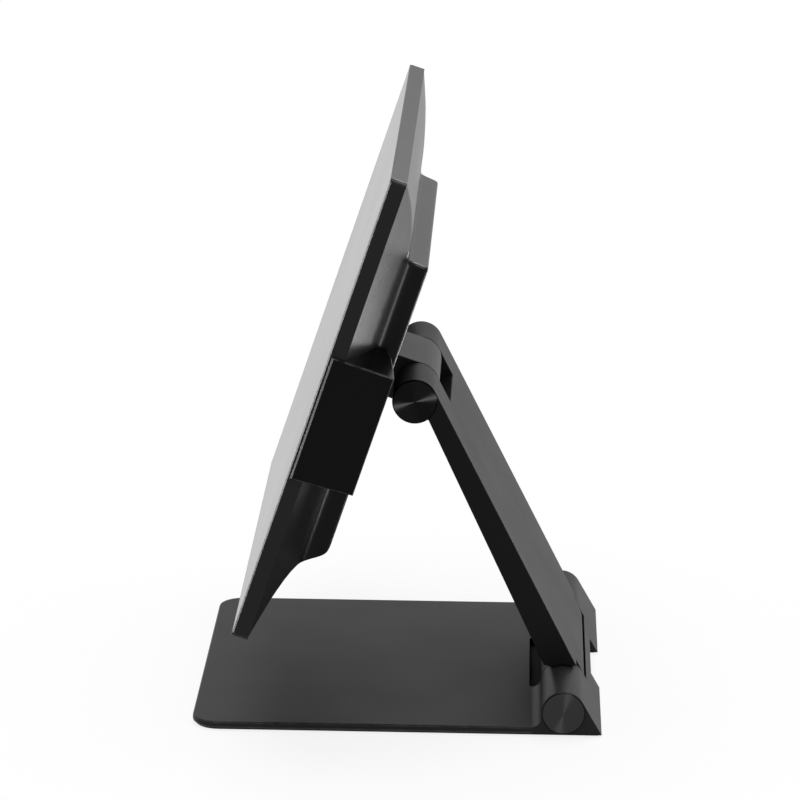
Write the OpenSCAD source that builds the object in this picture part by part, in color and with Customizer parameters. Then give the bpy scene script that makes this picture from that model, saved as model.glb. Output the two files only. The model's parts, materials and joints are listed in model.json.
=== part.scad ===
// Touch terminal on a folding stand with two friction hinges.
// X runs to the user's right, Y to the rear and Z up.
// The origin is on the table under the middle of the base.

/* [Base] */
// Width of the base between the outer faces of its hinge knuckles
base_w = 229; // [200:1:260]
// Length of the base from front edge to rear edge
base_l = 227; // [210:1:260]
// Thickness of the base plate
base_t = 4.2; // [3.6:0.1:6]
// Radius of the front corners of the base plate
base_corner_r = 15; // [10:1:40]
// Chamfer round the top edge of the base plate
base_edge = 0.7; // [0.3:0.1:1.2]
// Chamfer round the lower edge of the base plate
base_under = 1.2; // [0.5:0.1:1.6]
// Thickness of the rubber pad under the plate
pad_t = 0.8; // [0.6:0.1:1.4]
// Distance that the rubber pad is set in from the plate's edge
pad_inset = 2; // [1:0.5:6]
// Radius of the fillet in front of the base knuckles
fillet_r = 5.5; // [3:0.5:7]
// Slope of the ramp behind the hinge, from the horizontal
ramp_angle = 60; // [58:0.5:64]
// Length of the clearance slot in front of the arm's barrel
slot_len = 90; // [60:1:100]
// Width of the cable notch in the rear edge
notch_w = 64; // [40:1:80]
// Depth of the cable notch
notch_d = 5; // [4.5:0.5:7]

/* [Hinges] */
// Radius of the base knuckles and of the arm's barrel
hinge_r = 12.2; // [11.4:0.1:12.6]
// Radius of the arm's ears and of the knuckle between them
ear_r = 12.6; // [11.8:0.1:13.2]
// Height of the lower hinge axis above the table
hinge_z = 13.4; // [13.2:0.1:15]
// Radius of both hinge pins
pin_r = 4; // [3:0.25:5]
// Radial running clearance of a pin in a bore that turns on it
pin_clear = 0.04; // [0.02:0.01:0.08]
// Radial clearance of a pin in a bore that holds it
seat_clear = 0.01; // [0.01:0.01:0.05]
// Distance that the rim of the spun end caps stays inside the knuckles and ears
cap_inset = 0.2; // [0.1:0.1:2]
// Thickness of the end caps
cap_t = 1; // [0.6:0.1:2]
// Outer radius of the friction washers
washer_r = 9.5; // [7:0.5:10.5]
// Axial room for a friction washer
washer_t = 1; // [0.8:0.1:1.5]
// Gap between the arm's round ends and the base
pocket_gap = 0.8; // [0.4:0.1:1.2]

/* [Arm] */
// Distance between the two hinge axes
arm_len = 184.5; // [170:0.5:200]
// Width of the arm
arm_w = 138; // [128:1:150]
// Thickness of the arm at the upper hinge axis
arm_t = 10.2; // [8:0.1:11]
// Thickness of the arm at the lower hinge axis
arm_root = 16.7; // [12:0.1:17.5]
// Slope of the arm at its upright stop, from the horizontal
arm_angle = 62.7; // [60:0.1:66]
// Width of the barrel between the base knuckles
barrel_w = 115; // [104:1:120]
// Width of the display's knuckle between the ears
knuckle_w = 60; // [56:1:66]
// Open gap between the display's knuckle and the root of the fork
window_gap = 5; // [4.5:0.5:8]

/* [Display] */
// Width of the display
disp_w = 344; // [336:1:352]
// Height of the display
disp_h = 264; // [258:1:270]
// Radius of the display's corners
disp_r = 2.2; // [2.2:0.1:6]
// Thickness of the slab at its edge
slab_t = 9; // [8.6:0.1:10]
// Thickness of the touch glass
glass_t = 3; // [2:0.1:3.2]
// Width of the frame's rim round the glass
rim_w = 1.2; // [0.8:0.1:1.6]
// Gap between the rim and the glass
rim_fit = 0.15; // [0.1:0.05:0.3]
// Chamfer round the front edge of the frame
slab_edge = 0.4; // [0.2:0.1:0.7]
// Backward lean of the display from the vertical
tilt = 18.5; // [12:0.5:24]
// Distance of the upper hinge axis behind the glass
hinge_back = 56.6; // [56:0.1:62]
// Height of the display's centre above the upper hinge axis, along the glass
hinge_drop = 3.5; // [0:0.1:6]
// Border beside the display panel
border_side = 11; // [10:0.5:20]
// Border above and below the display panel
border_top = 8.5; // [8:0.5:16]

/* [Rear cover] */
// Depth of the rear box behind the face of the glass
box_d = 37; // [36:0.1:38]
// Radius of the upright corners of the rear box
box_r = 2.5; // [2:0.5:6]
// Wall of the rear cover
cover_wall = 2.5; // [2:0.1:2.8]
// Side of the square of bracket screws
vesa = 75; // [75:25:75]
// Side of the bracket's mounting plate
bracket_plate = 92; // [90:1:98]
// Thickness of the bracket's mounting plate
bracket_t = 3; // [2.4:0.1:4]
// Width of the bay for the plugs
bay_w = 104; // [90:1:116]
// Length of the vent slots
vent_l = 14; // [8:0.5:18]
// Width of the vent slots
vent_w = 3; // [2:0.1:4]

/* [Reader] */
// Height of the reader's top edge above the display's centre
reader_top = 31.3; // [20:0.1:45]
// Depth of the reader's lower edge below the display's centre
reader_low = 36.3; // [30:0.1:45]
// Depth of the reader's front edge behind the face of the glass
reader_front = 1.7; // [1:0.1:5]
// Thickness of the reader's outer plate
reader_plate = 1.75; // [1.2:0.05:2.5]
// Distance that the plate's lower front corner hangs below its lower rear corner
reader_slant = 2; // [0:0.1:4]
// Width of the bevel along the plate's front edge
reader_bevel = 1.1; // [0.6:0.1:2]
// Chamfer round the plate's other edges
reader_edge = 0.4; // [0.2:0.1:0.8]

/* [Power button] */
// Length of the button
button_l = 11.6; // [9:0.1:14]
// Width of the button
button_w = 3.2; // [2.8:0.1:3.4]
// Travel of the button
button_travel = 0.8; // [0.5:0.1:1]
// Distance of the button from the display's right-hand edge
button_in = 52; // [30:1:90]

/* [Hidden] */
$fn = 64;

// Contact gap between pieces that touch face to face
touch = 0.02;
// Base: the ramp runs from the round of the knuckle down to the rear edge
base_top = pad_t + base_t;
base_rear = base_l / 2;
ramp_back = (hinge_r + (hinge_z - pad_t) * cos(ramp_angle)) / sin(ramp_angle);
ramp_trim = 5.5;
lower_y = base_rear - ramp_back;
upper_y = lower_y - arm_len * cos(arm_angle);
upper_z = hinge_z + arm_len * sin(arm_angle);
barrel_room = barrel_w / 2 + washer_t;
knuckle_room = knuckle_w / 2 + washer_t;
floor_gap = 5;
cheek_w = (arm_w - barrel_w) / 2;
// Display, in depths behind the face of the glass
lcd_w = disp_w - 2 * border_side;
lcd_h = disp_h - 2 * border_top;
lip_d = slab_t - 1.1;
lip_w = 13;
chassis_t = 1.2;
chassis_w = lcd_w - 18;
chassis_h = lcd_h - 21;
chassis_d = slab_t + chassis_t;
plate_d = box_d - bracket_t;
floor_d = plate_d - cover_wall;
box_half = cover_half(plate_d);
box_top = cover_top(plate_d);
box_low = cover_low(plate_d);
// Screw wells, vents and plug bay of the rear cover
well_x = box_half - 16;
well_top = box_top - 19.5;
well_low = box_low - 21;
well_r = 5;
pan_rim = 3;
bay_d0 = 21.5;
bay_d1 = 31;
bay_end = box_low - 5;
vent_y = (bracket_plate / 2 + box_top) / 2;
vent_pitch = 8;
vent_n = floor((well_x - 2 * well_r) / vent_pitch) - 3;
// Boards
board_w = 2 * (box_half - 21);
board_h = 120;
board_t = 1.6;
board_low = box_low - 9;
board_y = board_h / 2 - board_low;
board_d = chassis_d + 5.8;
hole_in = 6;
post_r = 5;
post_solid = 6;
board_screw_l = 6;
bracket_screw_l = 12;
cover_screw_l = 4.2;
chip = 30;
chip_up = 12;
chip_t = 2;
sink_w = 58;
sink_l = 52;
sink_h = 8;
fin_t = 1.2;
fin_pitch = 4.6;
touch_w = 100;
touch_h = 20;
touch_y = disp_h / 2 - 38;
touch_post = 2;
touch_in = 10;
socket_l = 20;
socket_w = 14;
socket_h = 10;
// Button in the lower wall of the frame
button_x = disp_w / 2 - button_in;
button_d = (glass_t + slab_t) / 2;
button_gap = 0.2;
flange = 1.4;
flange_t = 1.2;
lid_t = 2;
// Reader
reader_x = disp_w / 2 + touch;
reader_rear = box_d - 0.7;
reader_y = (reader_top - reader_low) / 2;
reader_h = reader_top + reader_low;
reader_screw_d = 27.6;
reader_screw_y = reader_h / 4;
reader_screw_l = 12;
reader_seat = cover_half(reader_screw_d) - 5.2;
reader_reach = disp_w / 2 - reader_seat + 1;
coil_w = 48;
coil_d = 10;
coil_room = 22;
pcb_x = reader_x - 3.6;
pcb_t = 1.6;
pcb_d = (slab_t + reader_rear) / 2 + 1.35;
pcb_w = coil_w + 6;
pcb_h = coil_d + 4;
loop_in = 2;
loop_w = 1.5;

// Value of a table along a smooth curve through its points, without overshoot
function chord(p, q) = (q[1] - p[1]) / (q[0] - p[0]);
function slope(t, i) = i == 0 ? chord(t[0], t[1]) : i == len(t) - 1 ? chord(t[i - 1], t[i]) :
    let(a = chord(t[i - 1], t[i]), b = chord(t[i], t[i + 1])) a * b > 0 ? 2 * a * b / (a + b) : 0;
function smooth(x, t) = let(i = max([0, for (k = [0:len(t) - 2]) if (t[k][0] <= x) k]),
    h = t[i + 1][0] - t[i][0], s = (x - t[i][0]) / h)
    (1 + 2 * s) * pow(1 - s, 2) * t[i][1] + s * s * (3 - 2 * s) * t[i + 1][1]
    + h * s * pow(1 - s, 2) * slope(t, i) - h * s * s * (1 - s) * slope(t, i + 1);

// Half width, top, bottom and corner radius of the rear cover at a depth: a shallow taper from the slab, a
// tight turn into the wall of the box, a long hollow sweep below it, and an eased edge round the box's back
function cover_half(d) = disp_w / 2 + smooth(d, [[slab_t, -1.5], [15, -21.7], [21, -42], [23.6, -50.5],
    [24.3, -52.3], [25.2, -53.7], [26.8, -54.6], [box_d - 1.4, -55.6], [box_d - 0.5, -56.1],
    [box_d - 0.1, -56.8], [box_d, -57.6]]);
function cover_top(d) = disp_h / 2 + smooth(d, [[slab_t, -1], [16.3, -17], [20.5, -29.5], [23, -39],
    [24.4, -46], [25.2, -49.2], [25.7, -50], [26.6, -50.4], [box_d - 1.4, -51.2], [box_d - 0.5, -51.7],
    [box_d - 0.1, -52.4], [box_d, -53.2]]);
function cover_low(d) = disp_h / 2 + smooth(d, [[slab_t, -1], [14.6, -19.5], [18.5, -28], [20.5, -31],
    [23, -33.4], [28.6, -37.2], [box_d - 3, -41], [box_d - 1.2, -43], [box_d - 0.3, -45], [box_d, -47]]);
function cover_r(d) = smooth(d, [[slab_t, disp_r], [20, box_r + 0.5], [25, box_r], [box_d, box_r - 0.01]]);
cover_steps = [slab_t, 12, 14.6, 16.3, 18.5, 20.5, 22, 23, 23.6, 24.3, 24.8, 25.2, 25.7, 26.2, 26.8, 28, 30,
    32, box_d - 3, box_d - 2, box_d - 1.4, box_d - 0.9, box_d - 0.5, box_d - 0.1];

// Points of one rounded outline of the rear cover: ahead shifts the depth, inset draws the outline in
function cover_ring(d, ahead, inset) = let(e = max(slab_t, min(d + ahead, box_d)), r = cover_r(e),
    w = cover_half(e) - inset - r, t = cover_top(e) - inset - r, b = r + inset - cover_low(e), k = 7)
    [for (q = [[w, t, 0], [-w, t, 90], [-w, b, 180], [w, b, 270]], i = [0:k])
        [q[0] + r * cos(q[2] + 90 * i / k), q[1] + r * sin(q[2] + 90 * i / k), d]];

// Loft through a stack of outlines of equal length
module loft(rings) {
    n = len(rings[0]);
    m = len(rings);
    polyhedron(points = [for (ring = rings) each ring],
        faces = concat([[for (i = [0:n - 1]) i]], [[for (i = [n - 1:-1:0]) (m - 1) * n + i]],
            [for (j = [0:m - 2], i = [0:n - 1]) each
                let(a = j * n + i, b = j * n + (i + 1) % n) [[a, a + n, b], [b, a + n, b + n]]]));
}

// Outer form of the rear cover, grown by a gap for pieces that sit against it
module cover_form(gap) {
    loft([for (d = concat(cover_steps, [box_d])) cover_ring(d, -gap, -gap)]);
}

// Hollow inside the rear cover
module cover_hollow() {
    deep = floor_d + 3;
    loft([for (d = concat([slab_t - 1], [for (s = cover_steps) if (s < deep - 0.5) s], [deep]))
        cover_ring(d, cover_wall, 1.5)]);
}

module round_rect(w, h, r) {
    square([w - 2 * r, h], center = true);
    square([w, h - 2 * r], center = true);
    for (x = [-1, 1], y = [-1, 1]) translate([x * (w / 2 - r), y * (h / 2 - r)]) circle(r);
}

module stadium(l, w) {
    square([l - w, w], center = true);
    for (x = [-1, 1]) translate([x * (l - w) / 2, 0]) circle(d = w);
}

// Extrudes a profile in the Y-Z plane along X, about the middle
module along_x(w) {
    rotate([90, 0, 90]) linear_extrude(w, center = true) children();
}

// Cylinder along X, about the middle
module rod(r, w) {
    rotate([0, 90, 0]) cylinder(r = r, h = w, center = true);
}

// Frame of the arm: Y along the arm from the lower hinge, Z out of its back face
module in_arm() {
    translate([0, lower_y, hinge_z]) rotate([180 - arm_angle, 0, 0]) mirror([0, 0, 1]) children();
}

// Frame of the display's hinge: Y up along the glass, Z towards the front
module in_hinge() {
    translate([0, upper_y, upper_z]) rotate([90 - tilt, 0, 0]) children();
}

// Frame of the display: X right and Y up from its centre, Z is the depth behind the face of the glass
module in_display() {
    in_hinge() translate([0, hinge_drop, hinge_back]) mirror([0, 0, 1]) children();
}

// Outline of the base seen from above, drawn in by a margin
module base_outline(margin) {
    difference() {
        union() {
            translate([-base_w / 2 + margin, -base_l / 2 + base_corner_r])
                square([base_w - 2 * margin, base_l - base_corner_r - margin]);
            translate([-base_w / 2 + base_corner_r, -base_l / 2 + margin])
                square([base_w - 2 * base_corner_r, base_l - 2 * margin]);
            for (x = [-1, 1])
                translate([x * (base_w / 2 - base_corner_r), -base_l / 2 + base_corner_r])
                    circle(base_corner_r - margin);
        }
        translate([-notch_w / 2 - margin, base_rear - notch_d - margin])
            square([notch_w + 2 * margin, notch_d + 2 * margin]);
    }
}

// Side profile of the base behind its plate: round knuckle, ramp behind it and fillet in front
module knuckle_profile() {
    top = hinge_r - touch;
    difference() {
        union() {
            translate([lower_y, hinge_z]) circle(hinge_r);
            polygon([[lower_y, pad_t], [lower_y, hinge_z],
                [lower_y + top * sin(ramp_angle), hinge_z + top * cos(ramp_angle)],
                [base_rear, pad_t]]);
            translate([lower_y - hinge_r, pad_t]) square([hinge_r, hinge_z - pad_t]);
            translate([lower_y - hinge_r - fillet_r, pad_t]) square([hinge_r, base_t + fillet_r]);
        }
        translate([lower_y - hinge_r - fillet_r, base_top + fillet_r]) circle(fillet_r);
        translate([lower_y - 2 * hinge_r, pad_t - hinge_r]) square([4 * hinge_r, hinge_r]);
    }
}

// Side profile of the room for the arm's barrel: open above and through the floor, and trimmed where the ramp
// would run out to a feather edge
module barrel_pocket() {
    translate([lower_y, hinge_z]) {
        circle(hinge_r + pocket_gap);
        translate([-hinge_r - pocket_gap, 0]) square([hinge_r + pocket_gap, 2 * hinge_r]);
        translate([-floor_gap, -2 * hinge_r]) square([2 * floor_gap, 2 * hinge_r]);
        rotate(180 - ramp_angle) mirror([0, 1]) translate([-ramp_trim, 0]) square([5, 2] * hinge_r);
    }
}

// Edge profile of the plate: a half of width w from its middle, chamfered above and below
function plate_edge(w) = [[0, 0], [w - base_under, 0], [w, base_under], [w, base_t - base_edge],
    [w - base_edge, base_t], [0, base_t]];

// Plate with chamfered sides, front edge and rounded front corners
module base_plate() {
    r = base_corner_r;
    w = base_w / 2;
    front = -base_l / 2;
    for (s = [0, 1]) mirror([s, 0, 0]) {
        translate([0, lower_y, pad_t]) rotate([90, 0, 0]) linear_extrude(lower_y - front - r)
            polygon(plate_edge(w));
        translate([w - r, front + r, pad_t]) rotate([0, 0, -90]) rotate_extrude(angle = 90)
            polygon(plate_edge(r));
    }
    translate([0, front + r, pad_t]) mirror([0, 1, 0]) along_x(base_w - 2 * r) polygon(plate_edge(r));
}

module base_casting() {
    color("#26272a") difference() {
        union() {
            base_plate();
            along_x(base_w) knuckle_profile();
        }
        translate([0, lower_y, hinge_z]) rod(pin_r + seat_clear, base_w + 1);
        along_x(2 * barrel_room) barrel_pocket();
        // Clearance slot in front of the barrel
        translate([0, lower_y - hinge_r / 2 - fillet_r / 2 - pocket_gap, 0]) linear_extrude(3 * hinge_z)
            stadium_block(slot_len, hinge_r + fillet_r);
        translate([-notch_w / 2, base_rear - notch_d, -1]) cube([notch_w, 2 * notch_d, 3 * hinge_z]);
    }
}

// Slot with rounded front corners
module stadium_block(l, w) {
    r = fillet_r / 2;
    square([l - 2 * r, w], center = true);
    translate([0, r / 2]) square([l, w - r], center = true);
    for (x = [-1, 1]) translate([x * (l / 2 - r), r - w / 2]) circle(r);
}

module base_pad() {
    color("#1a1a1b") linear_extrude(pad_t) base_outline(pad_inset);
}

module lower_pin() {
    color("#b9bbbe") translate([0, lower_y, hinge_z]) rod(pin_r, base_w);
}

// Spun disc with a chamfered rim, its back on the plane z = 0
module end_cap(r) {
    rim = cap_t * 0.5;
    rotate_extrude() polygon([[0, 0], [r, 0], [r, rim], [r - rim, cap_t], [0, cap_t]]);
}

// Pair of caps on the ends of a round of width w and radius r
module cap_pair(w, r) {
    for (s = [0, 180]) rotate([0, 0, s]) translate([w / 2 + touch, 0, 0]) rotate([0, 90, 0])
        end_cap(r - cap_inset);
}

module lower_caps() {
    color("#2d2e31") translate([0, lower_y, hinge_z]) cap_pair(base_w, hinge_r);
}

// Pair of friction washers that fill the axial room beside a barrel of width w
module washer_pair(w) {
    for (s = [-1, 1]) translate([s * (w + washer_t) / 2, 0, 0]) difference() {
        rod(washer_r, washer_t - 2 * touch);
        rod(pin_r + pin_clear, washer_t + 1);
    }
}

module lower_washers() {
    color("#9a9c9f") translate([0, lower_y, hinge_z]) washer_pair(barrel_w);
}

// Front face of the arm at a distance from the lower axis, measured out of the plane of both axes
function arm_face(a) = hinge_r - arm_root + (ear_r - arm_t - hinge_r + arm_root) * a / arm_len;

// Side profile of the arm, which grows thicker towards the base
module arm_side() {
    polygon([[0, hinge_r], [0, arm_face(0)], [arm_len, arm_face(arm_len)], [arm_len, ear_r - touch]]);
}

// Side profile of the room below the arm's cheeks, which end level over the base knuckles
module cheek_room() {
    circle(hinge_r + pocket_gap);
    rotate(-arm_angle) translate([-4, -4] * hinge_r) square([8, 5] * hinge_r);
}

module arm() {
    color("#2b2c2f") in_arm() difference() {
        union() {
            along_x(arm_w) arm_side();
            translate([0, arm_len, 0]) rod(ear_r, arm_w);
            rod(hinge_r, barrel_w);
        }
        for (s = [-1, 1]) translate([s * (barrel_w / 2 + cheek_w), 0, 0]) along_x(2 * cheek_w) cheek_room();
        // Fork between the ears
        translate([-knuckle_room, arm_len - ear_r - window_gap, -2 * ear_r])
            cube([2 * knuckle_room, 3 * ear_r, 4 * ear_r]);
        rod(pin_r + pin_clear, arm_w + 1);
        translate([0, arm_len, 0]) rod(pin_r + pin_clear, arm_w + 1);
    }
}

module upper_pin() {
    color("#b9bbbe") translate([0, upper_y, upper_z]) rod(pin_r, arm_w);
}

module upper_caps() {
    color("#2d2e31") translate([0, upper_y, upper_z]) cap_pair(arm_w, ear_r);
}

module upper_washers() {
    color("#9a9c9f") translate([0, upper_y, upper_z]) washer_pair(knuckle_w);
}

// Bracket: knuckle on the pin, neck and the plate that lies flush in the rear cover
module neck_bracket() {
    color("#2b2c2f") in_hinge() difference() {
        union() {
            rod(ear_r, knuckle_w);
            translate([-knuckle_w / 2, -ear_r, 0]) cube([knuckle_w, 2 * ear_r, hinge_back - plate_d - 0.5]);
            translate([0, hinge_drop, hinge_back - box_d + touch]) linear_extrude(bracket_t - 2 * touch)
                translate([0, -hinge_drop]) round_rect(bracket_plate, bracket_plate, 4);
        }
        rod(pin_r + pin_clear, knuckle_w + 1);
        for (x = [-1, 1], y = [-1, 1]) translate([x * vesa / 2, y * vesa / 2, 0]) {
            cylinder(r = 2.2, h = 2 * box_d, center = true);
        }
    }
}

// Pan-head screw: the underside of its head on z = 0 and its shank along +Z
module screw(head_r, head_h, shank_r, shank_l) {
    translate([0, 0, -head_h]) cylinder(r = head_r, h = head_h);
    translate([0, 0, -0.1]) cylinder(r = shank_r, h = shank_l + 0.1);
}

module bracket_screws() {
    color("#8d8f92") in_hinge() for (x = [-1, 1], y = [-1, 1])
        translate([x * vesa / 2, y * vesa / 2, hinge_back - box_d]) screw(3.6, 2.2, 2, bracket_screw_l);
}

// Places of the deep screw wells in the rear cover
module at_wells() {
    for (x = [-1, 1], y = [well_top, -well_low]) translate([x * well_x, y, 0]) children();
}

// Places of the reader's screws, which run outwards through the side of the rear cover
module at_reader_screws() {
    for (y = [-1, 1]) translate([reader_seat, reader_y + y * reader_screw_y, reader_screw_d])
        rotate([0, 90, 0]) children();
}

module rear_cover() {
    color("#27282b") in_display() difference() {
        union() {
            difference() {
                cover_form(0);
                cover_hollow();
            }
            // Pan that seats the bracket's plate
            translate([0, -hinge_drop, floor_d]) linear_extrude(box_d - floor_d - 1)
                round_rect(bracket_plate + 2 * pan_rim, bracket_plate + 2 * pan_rim, 2 * pan_rim);
            at_wells() translate([0, 0, chassis_d + touch]) cylinder(r = well_r, h = box_d - chassis_d - 1);
            // Seats of the reader's screws
            at_reader_screws() cylinder(r = 4, h = 4);
        }
        translate([0, -hinge_drop, plate_d]) linear_extrude(box_d)
            round_rect(bracket_plate + 0.6, bracket_plate + 0.6, 4.3);
        translate([0, -hinge_drop, 0]) for (x = [-1, 1], y = [-1, 1])
            translate([x * vesa / 2, y * vesa / 2, 0]) cylinder(r = 2.2, h = 2 * box_d);
        at_wells() {
            cylinder(r = 1.7, h = 2 * box_d);
            translate([0, 0, chassis_d + 3]) cylinder(r = 3.2, h = 2 * box_d);
        }
        at_reader_screws() cylinder(r = 1.7, h = 2 * reader_screw_l, center = true);
        // Bay for the plugs in the lower wall of the box
        translate([-bay_w / 2, -disp_h / 2, bay_d0]) cube([bay_w, disp_h / 2 - bay_end, bay_d1 - bay_d0]);
        // Vent slots above the bracket
        for (i = [-vent_n:vent_n]) translate([i * vent_pitch, vent_y, floor_d - 2]) linear_extrude(box_d)
            rotate(90) stadium(vent_l, vent_w);
    }
}

module cover_screws() {
    color("#8d8f92") in_display() at_wells() translate([0, 0, chassis_d + 3]) mirror([0, 0, 1])
        screw(2.8, 1.8, 1.5, cover_screw_l);
}

// Slab with chamfered edges round its front face
module slab(w, h, r, edge, deep) {
    hull() {
        translate([0, 0, edge]) linear_extrude(deep - edge) round_rect(w, h, r, $fn = 32);
        linear_extrude(deep) round_rect(w - 2 * edge, h - 2 * edge, r - edge, $fn = 32);
    }
}

module frame() {
    color("#242528") in_display() difference() {
        slab(disp_w, disp_h, disp_r, slab_edge, slab_t - touch);
        // Seat of the glass, room for the panel and the window behind it
        translate([0, 0, -1]) linear_extrude(glass_t + touch + 1)
            round_rect(disp_w - 2 * rim_w, disp_h - 2 * rim_w, disp_r - rim_w, $fn = 32);
        linear_extrude(lip_d) square([lcd_w + 1, lcd_h + 1], center = true);
        linear_extrude(2 * slab_t) square([lcd_w - 2 * lip_w, lcd_h - 2 * lip_w], center = true);
        button_room();
    }
}

// Opening in the frame's lower wall and the wider chamber behind it
module button_room() {
    translate([button_x, -disp_h / 2, button_d]) rotate([-90, 0, 0]) {
        translate([0, 0, -1]) linear_extrude(disp_h / 2 - lcd_h / 2)
            stadium(button_l + 2 * button_gap, button_w + 2 * button_gap);
        translate([0, 0, lid_t]) linear_extrude(disp_h / 2 - lcd_h / 2)
            square([button_l + 2 * flange + 2 * button_gap, button_w + flange], center = true);
    }
}

module power_button() {
    color("#3a3b3e") in_display() translate([button_x, -disp_h / 2, button_d]) rotate([-90, 0, 0]) {
        translate([0, 0, -button_travel - 0.2]) linear_extrude(lid_t + button_travel + 0.3)
            stadium(button_l, button_w);
        translate([0, 0, lid_t + touch]) linear_extrude(flange_t)
            square([button_l + 2 * flange, button_w + flange - 2 * button_gap], center = true);
    }
}

module button_switch() {
    color("#55565a") in_display() translate([button_x, -lcd_h / 2 - 0.5, button_d]) rotate([-90, 0, 0]) {
        room = (disp_h - lcd_h - 1) / 2 - lid_t - flange_t - button_travel - 0.1;
        translate([0, 0, -room]) linear_extrude(room)
            square([button_l + 2 * flange, button_w + flange - 2 * touch], center = true);
    }
}

module front_glass() {
    in_rim = rim_w + rim_fit;
    color("#101113") in_display()
        slab(disp_w - 2 * in_rim, disp_h - 2 * in_rim, disp_r - in_rim, 0.3, glass_t);
}

module lcd_panel() {
    color("#6c6f73") in_display() translate([0, 0, glass_t + touch])
        linear_extrude(lip_d - glass_t - 2 * touch) round_rect(lcd_w, lcd_h, 1);
}

// Places of the mainboard's four corner screws
module at_standoffs() {
    for (x = [-1, 1], y = [-1, 1])
        translate([x * (board_w / 2 - hole_in), board_y + y * (board_h / 2 - hole_in), 0]) children();
}

// Sheet-metal carrier behind the panel: posts for the bracket, standoffs for the boards
module chassis() {
    color("#a9abad") in_display() difference() {
        union() {
            translate([0, 0, slab_t]) linear_extrude(chassis_t) round_rect(chassis_w, chassis_h, 3);
            translate([0, -hinge_drop, slab_t]) for (x = [-1, 1], y = [-1, 1])
                translate([x * vesa / 2, y * vesa / 2, 0]) cylinder(r = post_r, h = floor_d - slab_t - touch);
            at_standoffs() translate([0, 0, slab_t]) cylinder(r = 3, h = board_d - slab_t - touch);
            for (x = [-1, 1]) translate([x * (touch_w / 2 - touch_in), touch_y, slab_t])
                cylinder(r = 3, h = chassis_t + touch_post);
        }
        translate([0, -hinge_drop, slab_t + post_solid]) for (x = [-1, 1], y = [-1, 1])
            translate([x * vesa / 2, y * vesa / 2, 0]) cylinder(r = 2 + seat_clear, h = box_d);
        at_standoffs() translate([0, 0, slab_t + 2]) cylinder(r = 1.4 + seat_clear, h = box_d);
        at_wells() cylinder(r = 1.5 + seat_clear, h = box_d);
    }
}

module mainboard() {
    color("#1f4a33") in_display() difference() {
        union() {
            translate([0, board_y, board_d]) linear_extrude(board_t) difference() {
                round_rect(board_w, board_h, 2);
                // The bracket's posts pass through the board
                translate([0, -board_y - hinge_drop]) for (x = [-1, 1], y = [-1, 1])
                    translate([x * vesa / 2, y * vesa / 2]) circle(post_r + 0.5);
            }
            translate([-chip / 2, board_y + chip_up, board_d]) cube([chip, chip, board_t + chip_t]);
        }
        at_standoffs() cylinder(r = 1.6, h = 2 * box_d);
    }
}

module board_screws() {
    color("#8d8f92") in_display() at_standoffs() translate([0, 0, board_d + board_t + touch])
        mirror([0, 0, 1]) screw(2.6, 1.6, 1.4, board_screw_l);
}

// Finned heat sink on the processor
module heat_sink() {
    n = floor((sink_w - fin_t) / fin_pitch / 2);
    seat_d = board_d + board_t + chip_t + touch;
    color("#4a4c50") in_display() translate([0, board_y + chip_up + chip / 2, seat_d]) {
        translate([-sink_w / 2, -sink_l / 2, 0]) cube([sink_w, sink_l, 2.5]);
        for (i = [-n:n]) translate([i * fin_pitch - fin_t / 2, -sink_l / 2, 0]) cube([fin_t, sink_l, sink_h]);
    }
}

// Row of sockets on the board's lower edge: power inlet, network socket, two pairs of data sockets and a
// power outlet, each with its place as a share of the bay, its width and its height
module io_ports() {
    color("#77797d") in_display() translate([0, -bay_end, board_d + board_t + touch]) {
        for (p = [[-0.4, socket_w - 2, socket_h - 1], [-0.19, socket_w + 2, socket_h + 1.5],
            [0.04, socket_w, socket_h], [0.23, socket_w, socket_h], [0.4, socket_w - 2, socket_h - 1]])
            translate([p[0] * bay_w - p[1] / 2, 0, 0]) cube([p[1], socket_l, p[2]]);
        translate([-0.46 * bay_w, socket_l * 0.7, 0]) cube([0.92 * bay_w, socket_l * 0.3, 2]);
    }
}

module touch_board() {
    color("#1f4a33") in_display() translate([0, touch_y, chassis_d + touch_post + touch])
        linear_extrude(board_t) square([touch_w, touch_h], center = true);
}

// Rear face of the reader's housing falls away towards the box
module reader_section() {
    r = disp_w / 2;
    fall = [[0, 0], [0.32, 1.1], [0.65, 3], [0.8, 4.6], [0.87, 5.2], [1, 5.4]];
    polygon(concat([[r - reader_reach, slab_t + touch], [r, slab_t + touch]],
        [for (p = fall) [r - p[0] * reader_reach, reader_rear - p[1]]]));
}

module reader_housing() {
    color("#1b1c1e") in_display() difference() {
        translate([0, reader_y, 0]) rotate([90, 0, 0]) linear_extrude(reader_h, center = true)
            reader_section();
        cover_form(0.05);
        // Pocket for the coil, and the step that carries the circuit board
        translate([disp_w / 2 - coil_room, reader_y - coil_w / 2, pcb_d - coil_d / 2])
            cube([coil_room, coil_w, coil_d]);
        translate([pcb_x - pcb_t - touch, reader_y - pcb_w / 2, pcb_d - pcb_h / 2])
            cube([coil_room, pcb_w, pcb_h]);
        at_reader_screws() cylinder(r = 1.5 + seat_clear, h = 2 * reader_screw_l, center = true);
    }
}

// Outline of the reader's outer plate with its lower edge on a slant, drawn in by one margin at the front
// edge and by another at the rest
module plate_outline(ahead, rest) {
    front = -reader_front - ahead;
    rear = -reader_rear + rest;
    polygon([[rear, reader_top - rest], [front, reader_top - rest], [front, rest - reader_low - reader_slant],
        [rear, rest - reader_low]]);
}

module reader_cover() {
    color("#141416") in_display() translate([reader_x, 0, 0]) rotate([0, 90, 0]) hull() {
        linear_extrude(reader_plate - reader_bevel / 2) plate_outline(0, 0);
        linear_extrude(reader_plate) plate_outline(reader_bevel, reader_edge);
    }
}

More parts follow.
